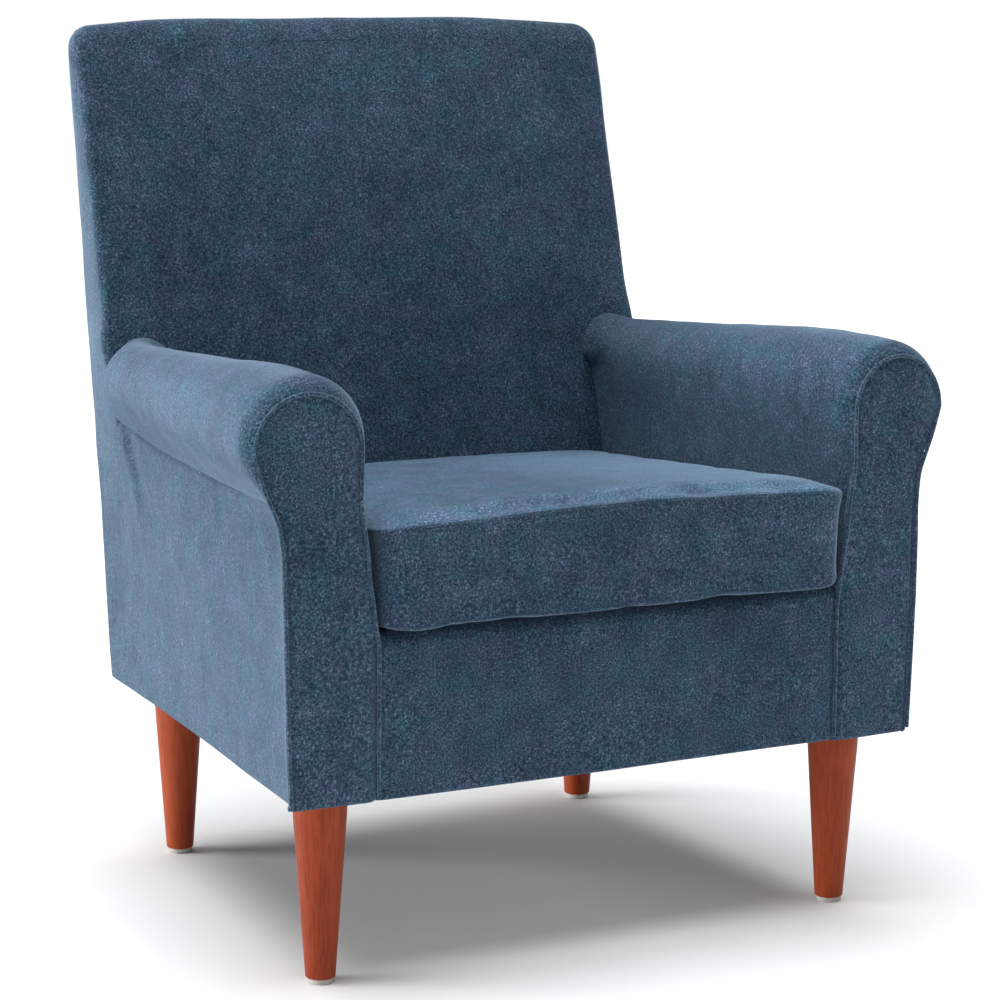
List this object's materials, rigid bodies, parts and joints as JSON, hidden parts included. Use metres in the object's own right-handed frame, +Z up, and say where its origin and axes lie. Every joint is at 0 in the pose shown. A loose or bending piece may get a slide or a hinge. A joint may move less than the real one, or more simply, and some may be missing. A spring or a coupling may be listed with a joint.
{
  "type": "upholstered armchair",
  "caption": "Upholstered armchair with a reclined padded back, rolled arms, a loose box seat cushion and tapered round wooden legs.",
  "frame": {"origin": "on the floor, under the middle of the chair's plan", "axes": "+Z up, -Y to the front of the seat, +X to the chair's side that is on the right when seen from the front"},
  "size_m": [0.7358, 0.6419, 0.864],
  "materials": {
    "upholstery_fabric": "woven blue tweed velvet",
    "leg_wood": "satin cherry stain",
    "frame_timber": "sawn hardwood",
    "scroll_plywood": "plywood",
    "liner_board": "grey chipboard",
    "foam": "polyurethane foam",
    "wadding": "polyester wadding",
    "webbing": "elastic webbing",
    "spring_steel": "oiled spring wire",
    "plated_steel": "zinc plated",
    "clip_plastic": "moulded",
    "glide_plastic": "moulded",
    "dust_cloth": "black spunbond",
    "deck_cloth": "plain dark cotton",
    "felt": "needled felt",
    "zip_nylon": "nylon coil",
    "zip_metal": "enamelled"
  },
  "bodies": {
    "chair": {"back_webbing": "webbing", "corner_blocks": "frame_timber", "deck_cloth": "deck_cloth", "deck_foam": "foam", "dust_cover": "dust_cloth", "front_border": "upholstery_fabric", "front_left_glide": "glide_plastic", "front_left_leg": "leg_wood", "front_rail_pad": "wadding", "front_right_glide": "glide_plastic", "front_right_leg": "leg_wood", "front_seat_rail": "frame_timber", "left_arm_cover": "upholstery_fabric", "left_arm_foam": "foam", "left_arm_front_panel": "upholstery_fabric", "left_arm_rail": "frame_timber", "left_back_border": "upholstery_fabric", "left_back_post": "frame_timber", "left_back_side_pad": "wadding", "left_inside_arm_pad": "upholstery_fabric", "left_outside_arm_panel": "upholstery_fabric", "left_scroll_board": "scroll_plywood", "left_seat_rail": "frame_timber", "leg_bolts": "plated_steel", "leg_plate_screws": "plated_steel", "leg_plates": "plated_steel", "lower_back_rail": "frame_timber", "lumbar_cover": "upholstery_fabric", "lumbar_foam": "foam", "outside_arm_liners": "liner_board", "outside_back_liner": "liner_board", "outside_back_panel": "upholstery_fabric", "rear_left_glide": "glide_plastic", "rear_left_leg": "leg_wood", "rear_right_glide": "glide_plastic", "rear_right_leg": "leg_wood", "rear_seat_rail": "frame_timber", "right_arm_cover": "upholstery_fabric", "right_arm_foam": "foam", "right_arm_front_panel": "upholstery_fabric", "right_arm_rail": "frame_timber", "right_back_border": "upholstery_fabric", "right_back_post": "frame_timber", "right_back_side_pad": "wadding", "right_inside_arm_pad": "upholstery_fabric", "right_outside_arm_panel": "upholstery_fabric", "right_scroll_board": "scroll_plywood", "right_seat_rail": "frame_timber", "seat_springs": "spring_steel", "spring_clips": "clip_plastic", "spring_insulator": "felt", "top_back_rail": "frame_timber", "top_cover": "upholstery_fabric", "upper_back_cover": "upholstery_fabric", "upper_back_foam": "foam"},
    "seat_cushion": {"cushion_cover": "upholstery_fabric", "cushion_core": "foam", "cushion_zip": "zip_nylon"},
    "zip": {"zip_slider": "zip_metal", "zip_pull": "zip_metal"}
  },
  "joints": [
    {"name": "cushion_lift", "type": "slide", "parent": "chair", "child": "seat_cushion", "axis": [0, 0, 1], "range_m": [0, 0.5]},
    {"name": "zip_slide", "type": "slide", "parent": "seat_cushion", "child": "zip", "axis": [-1, 0, 0], "range_m": [0, 0.385]}
  ]
}
